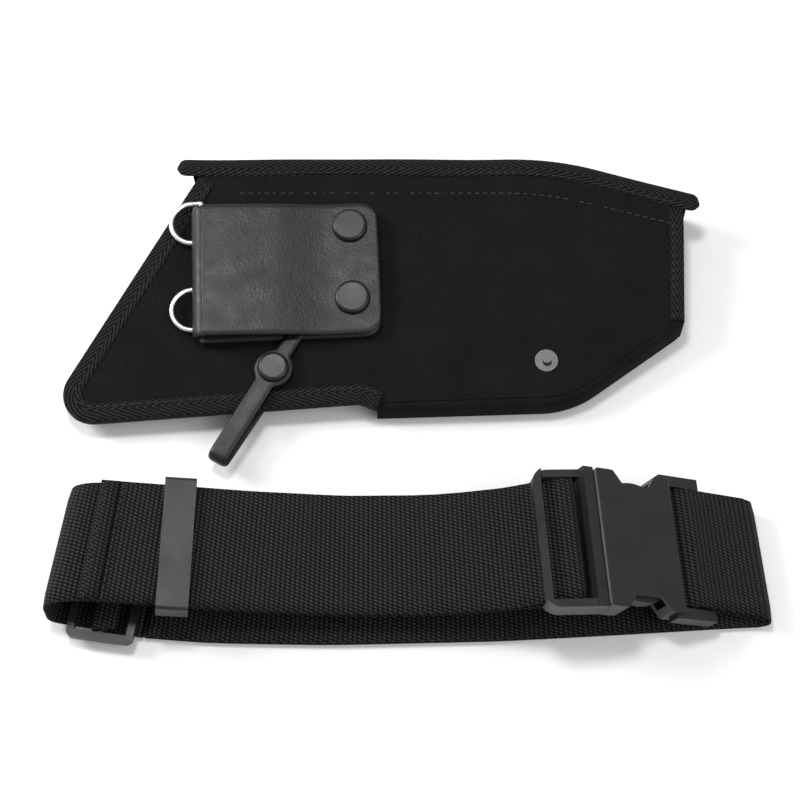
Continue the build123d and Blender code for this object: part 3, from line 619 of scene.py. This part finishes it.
# ---- stitches ------------------------------------------------------------------------------------
def stitches(
    name, places, body="sheath", length=2.2, width=0.55, height=0.3, gap=1.3, thread=DARK_THREAD
):
    """A row of thread stitches along places, which are (point, normal) pairs close together."""
    points, faces = [], []
    travelled, next_at = 0.0, 0.0
    path = [Vector(p) for p, _ in places]
    ups = [Vector(n) for _, n in places]
    for i in range(len(path) - 1):
        step = (path[i + 1] - path[i]).length
        while next_at < travelled + step and step > 0:
            t = (next_at - travelled) / step
            centre = path[i].lerp(path[i + 1], t)
            along = (path[i + 1] - path[i]).normalized()
            up = ups[i]
            side = up.cross(along).normalized()
            rings = []
            for u, fat in ((-0.5, 0.25), (-0.36, 0.8), (0, 1.0), (0.36, 0.8), (0.5, 0.25)):
                ring = []
                for k in range(6):
                    a = 2 * pi * k / 6
                    ring.append(
                        centre
                        + along * (u * length)
                        + side * (cos(a) * width / 2 * fat)
                        + up * (sin(a) * height * fat - (0.15 if abs(u) > 0.4 else 0))
                    )
                rings.append(ring)
            p, f = lathe(rings)
            base = len(points)
            points += p
            faces += [tuple(base + k for k in face) for face in f]
            next_at += length + gap
        travelled += step
    piece = add_mesh(name, points, faces, thread, body)
    return piece


def row(face, line, inward, z):
    """Places for stitches at an inward distance from a chain, on a face."""
    return [(face.at(p.x, p.y, z), face.n) for p in inset(line, inward)]


stitches("mouth_stitches", row(front, mouth_line[2:-2], TAPE_W - 1.6, TAPE_T + 0.02))
seam_row = row(front, [p for p in seam_line if -70 < p.x < 117], 0.0, 0.12)
stitches("seam_stitches", seam_row, thread=THREAD)
top_row = [p for p in seam_line if p.x < 120]
stitches("top_stitches", row(front, top_row, TAPE_W - FLANGE_W - 1.6, TAPE_T + 0.2))
stitches("end_stitches", row(front, end_line[1:-1], END_TAPE_W - TAPE_T - 1.6, TAPE_T - 0.05))


# ---- sheath: leather loop ------------------------------------------------------------------------
def ribbon(middle, half_width, thickness, columns, edge=0.35):
    """A closed strip: middle gives (point, across, up) per row and half_width the reach per row."""
    rows = []
    for i, (p, across, up) in enumerate(middle):
        low, high = half_width(i)
        ring = []
        for level in (1, -1):
            order = range(columns) if level == 1 else range(columns - 1, -1, -1)
            for k in order:
                q = low + (high - low) * k / (columns - 1)
                thin = edge * thickness if k in (0, columns - 1) else 0.0
                ring.append(p + across * q + up * level * (thickness / 2 - thin))
        rows.append(ring)
    return rows


fold_r = LEATHER_T + LOOP_GAP / 2
flap_low = LEATHER_T + SNAP_STACK


def ease(t):
    """0 up to t = 0, 1 from t = 1 on, and smooth between."""
    t = min(1.0, max(0.0, t))
    return t * t * (3 - 2 * t)


def loop_middle():
    """The leather's middle line, from the base's free end round the fold to the flap's free end."""
    half = LEATHER_T / 2
    line = [Vector((p, half)) for p in (79.6, 78.5, 76, 74, 72, 68, 60, 50, 40, 30, 20, 12, 7)]
    for k in range(13):
        a = -pi / 2 - pi * k / 12
        line.append(Vector((fold_r + (fold_r - half) * cos(a), fold_r + (fold_r - half) * sin(a))))
    high = 2 * fold_r - half
    low = flap_low + half
    for p in list(range(7, 61, 3)):
        fall = 0.45 * ease((p - 8) / 38) + 0.55 * ease((p - 34) / 26)
        line.append(Vector((p, high + (low - high) * fall)))
    line += [Vector((p, low)) for p in (63, 66, 69, 72, 74, 76, 78.5, 79.6)]
    return line


def loop_reach(p):
    """How far the leather reaches to each side at a distance along the loop."""
    over = p - (LOOP_L - LOOP_CORNER_R)
    cut = LOOP_CORNER_R - sqrt(max(LOOP_CORNER_R**2 - over**2, 0.0)) if over > 0 else 0.0
    return (LOOP_MID_Q - LOOP_HALF_W + cut, LOOP_MID_Q + LOOP_HALF_W - cut)


loop_line = loop_middle()
loop_rows = []
for i, c in enumerate(loop_line):
    d = loop_line[min(i + 1, len(loop_line) - 1)] - loop_line[max(i - 1, 0)]
    d.normalize()
    up = loop_face.n * -d.x + loop_face.x * d.y
    loop_rows.append((loop_face.at(c.x, 0, c.y), loop_face.y, up))
FOLD_TOP = 25  # the row of loop_line at the top of the fold
loop_rings = ribbon(loop_rows, lambda i: loop_reach(loop_line[i].x), LEATHER_T, 41)
base_rings = loop_rings[: FOLD_TOP + 2]
for i, thin in ((FOLD_TOP - 1, 0.1), (FOLD_TOP, 0.3), (FOLD_TOP + 1, 0.5)):
    middle, _, up = loop_rows[i]
    base_rings[i] = [q - up * ((q - middle).dot(up) * thin) for q in base_rings[i]]
base_leather = add_mesh("loop_base_leather", *lathe(base_rings), LEATHER, "sheath")
flap_leather = add_mesh("loop_flap_leather", *lathe(loop_rings[FOLD_TOP - 1 :]), LEATHER, None)
for piece in (base_leather, flap_leather):
    soft = piece.modifiers.new("round", "SUBSURF")
    soft.levels = soft.render_levels = 1
tuple(world(loop_face.at(fold_r, 0, 2 * fold_r - 0.7)))
tuple(world(loop_face.at(fold_r + 4.0, 0, 2 * fold_r - 0.7)))
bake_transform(flap_leather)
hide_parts("loop_base")
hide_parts("belt_loop_flap")

# ---- sheath: retention strap ---------------------------------------------------------------------
strap_low = SNAP_STACK
fold_top = strap_face.at(-STRAP_TO_FOLD, 0, strap_low + STRAP_T)
heading_strap = Vector((cos(radians(STRAP_TURN)), sin(radians(STRAP_TURN)), 0))
across_strap = Vector((-heading_strap.y, heading_strap.x, 0))
strap_fold_r = (fold_top.z - STRAP_BACK_Z) / 2
strap_rows, strap_reach = [], []


def strap_row(point, along, half):
    up = along.cross(across_strap)
    strap_rows.append((point, across_strap, up.normalized() * -1))
    strap_reach.append((-half, half))


base_point = Vector((fold_top.x, fold_top.y, 0))
for s in (STRAP_BACK_L, 50, 40, 30, 20, 12, 6, 2):
    middle = base_point + heading_strap * s + Vector((0, 0, STRAP_BACK_Z + STRAP_T / 2))
    strap_row(middle, -heading_strap, STRAP_W / 2)
for k in range(11):
    a = -pi / 2 - pi * k / 10
    r = strap_fold_r - STRAP_T / 2
    centre = base_point + Vector((0, 0, STRAP_BACK_Z + strap_fold_r))
    point = centre + heading_strap * (r * cos(a)) + Vector((0, 0, r * sin(a)))
    along = heading_strap * sin(a) + Vector((0, 0, -cos(a)))
    strap_row(point, along, STRAP_W / 2)
front_stations = [-STRAP_TO_FOLD + 2 + 3 * k for k in range(9)] + [-14, -12, -10, -9, -8.2]
front_stations += [-7.6, -6.8, -5.6, -4, -2, 0, 2, 4, 5.6, 6.8, 7.6, 8.4, 10, 13, 16, 18.5, 20.2, 21.4, 21.95]
for s in front_stations:
    stem = STRAP_W / 2 if s < 0 else STRAP_TAB_W / 2
    eye = sqrt(max(STRAP_EYE_R**2 - s * s, 0.0))
    half = max(stem, eye)
    if s > 18.5:
        half = STRAP_TAB_W / 2 * sqrt(max(1 - ((s - 18.5) / 3.5) ** 2, 0.02))
    strap_row(strap_face.at(s, 0, strap_low + STRAP_T / 2), strap_face.x, half)
strap_rings = ribbon(strap_rows, lambda i: strap_reach[i], STRAP_T, 7)
strap = add_mesh("retention_strap", *lathe(strap_rings), STRAP_LEATHER, None)
soft = strap.modifiers.new("round", "SUBSURF")
soft.levels = soft.render_levels = 1
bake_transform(strap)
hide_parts("strap_front", "strap_back")

# ---- belt: webbing -------------------------------------------------------------------------------
# Height of the lowest ply's middle, and from one ply's middle to the next.
LOW_Z, PLY_PITCH = 1.2, 2.3
# The webbing turns round the male frame's bar and, at the housing's foot, round its post.
BAR_X, BAR_Z, BAR_WRAP, WRAP_Y = 66.62, 31.66, 3.2, -75.3
POST_X, POST_Z, POST_WRAP, FOOT_Y = 113.86, 11.70, 3.4, -71.77
# The strap is cut under the adjuster, and the front and the back belt end on either side of the cut.
CUT_FRONT_X, CUT_BACK_X = -99.3, -98.7
LEFT_X, LEFT_TOP_Z = -136.0, 23.1
RIGHT_OUTER_X, RIGHT_INNER_X = 145.0, 142.7
# Corners of each strap's path: x, height, bend radius, middle across the table, lean of its width.
UPPER_PLY = [
    (-122.0, 25.4, 0, -72.0, 0.12),
    (-88.0, 21.4, 300, -73.2, 0.08),
    (-56.0, 17.6, 150, -74.2, 0.05),
    (-20.0, 15.2, 100, -75.0, 0.0),
    (16.0, 17.4, 100, -75.4, -0.03),
    (42.0, 24.6, 40, -75.4, -0.06),
]
UNDER_PLY = [(x, z - PLY_PITCH, r, y, lean) for x, z, r, y, lean in reversed(UPPER_PLY)]
UNDER_PLY[-1] = (*UNDER_PLY[-1][:2], 60, *UNDER_PLY[-1][3:])
BAR_TURN = [
    (BAR_X - 3.0, BAR_Z + BAR_WRAP, 5, WRAP_Y, -0.07),
    (BAR_X + BAR_WRAP, BAR_Z + BAR_WRAP, BAR_WRAP, WRAP_Y, -0.07),
    (BAR_X + BAR_WRAP, BAR_Z - BAR_WRAP, BAR_WRAP, WRAP_Y, -0.07),
    (BAR_X - 3.0, BAR_Z - BAR_WRAP, 20, WRAP_Y, -0.07),
]
LEFT_TURN = [
    (LEFT_X, LEFT_TOP_Z, 8, -72.6, 0.15),
    (LEFT_X, LOW_Z, 8, -74.6, 0.15),
    (CUT_FRONT_X, LOW_Z, 0, -80.2, 0.12),
]
FRONT_STRAP = UPPER_PLY + BAR_TURN + UNDER_PLY + LEFT_TURN
BACK_STRAP = [
    (CUT_BACK_X, LOW_Z, 0, -80.2, 0.12),
    (-75.0, LOW_Z, 0, -82.2, 0.09),
    (-28.0, LOW_Z, 0, -83.0, 0.03),
    (40.0, LOW_Z, 0, -81.4, -0.04),
    (90.0, LOW_Z, 0, -78.6, -0.07),
    (RIGHT_OUTER_X, LOW_Z, 4.2, -75.5, -0.08),
    (RIGHT_OUTER_X, 9.6, 4.2, -74.5, -0.08),
    (POST_X + 12.0, 11.0, 20, FOOT_Y + 0.2, -0.07),
    (POST_X + 2.5, POST_Z + POST_WRAP, 3, FOOT_Y, -0.07),
    (POST_X - POST_WRAP, POST_Z + POST_WRAP, POST_WRAP, FOOT_Y, -0.07),
    (POST_X - POST_WRAP, POST_Z - POST_WRAP, POST_WRAP, FOOT_Y, -0.07),
    (POST_X + 3.0, POST_Z - POST_WRAP, 20, FOOT_Y, -0.07),
    (POST_X + 12.0, POST_Z - POST_WRAP - 0.8, 0, FOOT_Y + 0.2, -0.07),
    (RIGHT_INNER_X, 7.3, 1.9, -74.5, -0.08),
    (RIGHT_INNER_X, LOW_Z + PLY_PITCH, 1.9, -75.5, -0.08),
    (90.0, LOW_Z + PLY_PITCH, 0, -78.6, -0.07),
    (40.0, LOW_Z + PLY_PITCH, 0, -81.4, -0.04),
    (-28.0, LOW_Z + PLY_PITCH, 0, -83.0, 0.03),
    (-75.0, LOW_Z + PLY_PITCH, 0, -82.2, 0.09),
    (CUT_BACK_X, LOW_Z + PLY_PITCH, 0, -80.2, 0.12),
]
END_STRAP = [
    (CUT_FRONT_X, 3.5, 0, -80.2, 0.13),
    (-118.0, 3.5, 3.0, -79.3, 0.14),
    (-118.0, 9.5, 3.0, -79.3, 0.14),
    (-109.0, 9.5, 0, -79.3, 0.14),
]


def stations(corners, step=4.0):
    """Points (x, z, y, lean) about a step apart along a path with rounded corners."""
    raw = []
    for i, (x, z, r, y, lean) in enumerate(corners):
        here = Vector((x, z))
        if i in (0, len(corners) - 1) or r == 0:
            raw.append((here, y, lean))
            continue
        a, c = Vector(corners[i - 1][:2]), Vector(corners[i + 1][:2])
        before, after = heading(a, here), heading(here, c)
        turn = (after - before + 180) % 360 - 180
        if abs(turn) < 0.2:
            raw.append((here, y, lean))
            continue
        back = r * tan(radians(abs(turn)) / 2)
        sign = 1 if turn > 0 else -1
        side = radians(before + 90 * sign)
        centre = here - (here - a).normalized() * back + Vector((cos(side), sin(side))) * r
        count = max(2, int(abs(turn) / 9))
        for k in range(count + 1):
            way = radians(before + turn * k / count - 90 * sign)
            raw.append((centre + Vector((cos(way), sin(way))) * r, y, lean))
    made = [raw[0]]
    for item in raw[1:]:
        gap = (item[0] - made[-1][0]).length
        if gap < 0.05:
            continue
        pieces = max(1, round(gap / step))
        p0, y0, l0 = made[-1]
        for k in range(1, pieces + 1):
            t = k / pieces
            made.append((p0.lerp(item[0], t), y0 + (item[1] - y0) * t, l0 + (item[2] - l0) * t))
    return smoothed(made)


def smoothed(made):
    """Evens out how the strap's middle and lean change along it."""
    ys = [m[1] for m in made]
    leans = [m[2] for m in made]
    for _ in range(6):
        ys = [ys[0]] + [(a + 2 * b + c) / 4 for a, b, c in zip(ys, ys[1:], ys[2:])] + [ys[-1]]
        middle_leans = [(a + 2 * b + c) / 4 for a, b, c in zip(leans, leans[1:], leans[2:])]
        leans = [leans[0]] + middle_leans + [leans[-1]]
    return [(m[0], y, lean) for m, y, lean in zip(made, ys, leans)]


def strap_frames(corners, offset=0.0):
    """(point, across, up) for each station, raised by offset along up."""
    made = stations(corners)
    frames = []
    for i, (p, y, lean) in enumerate(made):
        d = made[min(i + 1, len(made) - 1)][0] - made[max(i - 1, 0)][0]
        along = Vector((d.x, 0, d.y)).normalized()
        across = Vector((lean, 1, 0)).normalized()
        up = along.cross(across).normalized()
        frames.append((Vector((p.x, y, p.y)) + up * offset, across, up))
    return frames


def strap_length(frames):
    return sum((b[0] - a[0]).length for a, b in zip(frames, frames[1:])) * MM


def belt_strap(name, corners, node, body):
    frames = strap_frames(corners)
    rings = ribbon(frames, lambda i: (-WEB_W / 2, WEB_W / 2), WEB_T, 11, edge=0.25)
    piece = add_mesh(name, *lathe(rings), WEBBING, body)
    weave_places(piece, rings)
    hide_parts(node)
    return piece, strap_length(frames)


front_strap, front_length = belt_strap("belt_front", FRONT_STRAP, "webbing_front", "belt_male")
back_strap, back_length = belt_strap("belt_back", BACK_STRAP, "webbing_back", "belt_female")
end_strap, end_length = belt_strap("belt_end", END_STRAP, "webbing_end", "slider_body")

# The tail's hem: the last 11 mm turned over and sewn down.
hem_frames = [f for f in strap_frames(UPPER_PLY[:2]) if f[0].x < -112]
hem_rows = [(p + up * 1.0, across, up) for p, across, up in hem_frames]
hem_rings = ribbon(hem_rows, lambda i: (-WEB_W / 2 + 0.2, WEB_W / 2 - 0.2), 1.2, 11)
tail_hem = add_mesh("tail_hem", *lathe(hem_rings), WEBBING, "belt_male")
weave_places(tail_hem, hem_rings)
for k, inward in enumerate((2.0, 9.0)):
    p, across, up = hem_frames[0]
    along = (hem_frames[-1][0] - p).normalized()
    start = p + along * inward + up * 1.65
    places = [(start + across * (-23.5 + q), up) for q in range(48)]
    stitches(f"hem_stitches_{k}", places, "belt_male", 2.4, 0.6, 0.3, 0.9)

# ---- finishes for the CAD pieces that stay ---------------------------------------------------------
def finish(material, *names, bevel=0.0):
    for name in names:
        piece = nodes[name]
        for place in piece.material_slots:
            place.material = material
        if bevel:
            round_off = piece.modifiers.new("edges", "BEVEL")
            round_off.width, round_off.segments, round_off.angle_limit = bevel, 3, radians(35)
            round_off.harden_normals = False


finish(BUCKLE, "male_frame", "female_housing", bevel=0.0011)
finish(BUCKLE, "keeper", "slider", bevel=0.0009)
finish(BUCKLE, "prong_far", "prong_near", bevel=0.0004)
finish(SNAP, "loop_snap_caps", "strap_snap_cap")
finish(STEEL, "loop_snap_sockets", "loop_snap_studs", "strap_snap_socket", "strap_snap_stud")
finish(STEEL, "strap_rivet", "accessory_washer")
finish(STUD, "accessory_stud", bevel=0.0002)
finish(CHROME, "d_ring_upper", "d_ring_lower")
finish(LINER, "liner_back", "liner_front")

# ---- stage, light and camera -----------------------------------------------------------------------
bpy.ops.mesh.primitive_plane_add(size=6.0, location=(0, 0, 0))
floor = bpy.context.object
floor.name = "floor"
floor_finish = Finish("floor", roughness=0.9)
floor_finish.shader.inputs["Base Color"].default_value = (0.95, 0.95, 0.95, 1)
floor_finish.shader.inputs["Specular IOR Level"].default_value = 0.1
floor.data.materials.append(floor_finish.material)


def area_light(name, place, aim, size, power):
    data = bpy.data.lights.new(name, "AREA")
    data.shape, data.size, data.energy = "DISK", size, power
    light = bpy.data.objects.new(name, data)
    light.location = place
    light.rotation_euler = (Vector(aim) - Vector(place)).to_track_quat("-Z", "Y").to_euler()
    bpy.context.collection.objects.link(light)


area_light("key", (-0.85, 0.30, 0.62), (0, 0, 0), 0.45, 8)
area_light("fill", (0.8, -0.5, 0.8), (0, 0, 0), 0.9, 5)
area_light("top", (-0.15, 0.24, 1.1), (0, 0, 0), 0.24, 5)

surround = bpy.data.worlds.new("surround")
surround.use_nodes = True
surround.node_tree.nodes["Background"].inputs["Color"].default_value = (1, 1, 1, 1)
surround.node_tree.nodes["Background"].inputs["Strength"].default_value = 0.42
bpy.context.scene.world = surround
bpy.context.scene.view_settings.view_transform = "Standard"

CAMERA_RISE, CAMERA_AWAY = radians(65.0), 0.762
aim = world((0, 0, 0))
lens = bpy.data.cameras.new("camera")
lens.lens, lens.sensor_width = 81.0, 36.0
lens.clip_start, lens.clip_end = 0.01, 20
camera = bpy.data.objects.new("camera", lens)
camera.location = aim + Vector((0, -cos(CAMERA_RISE), sin(CAMERA_RISE))) * CAMERA_AWAY
camera.rotation_euler = (aim - camera.location).to_track_quat("-Z", "Y").to_euler()
bpy.context.collection.objects.link(camera)
bpy.context.scene.camera = camera
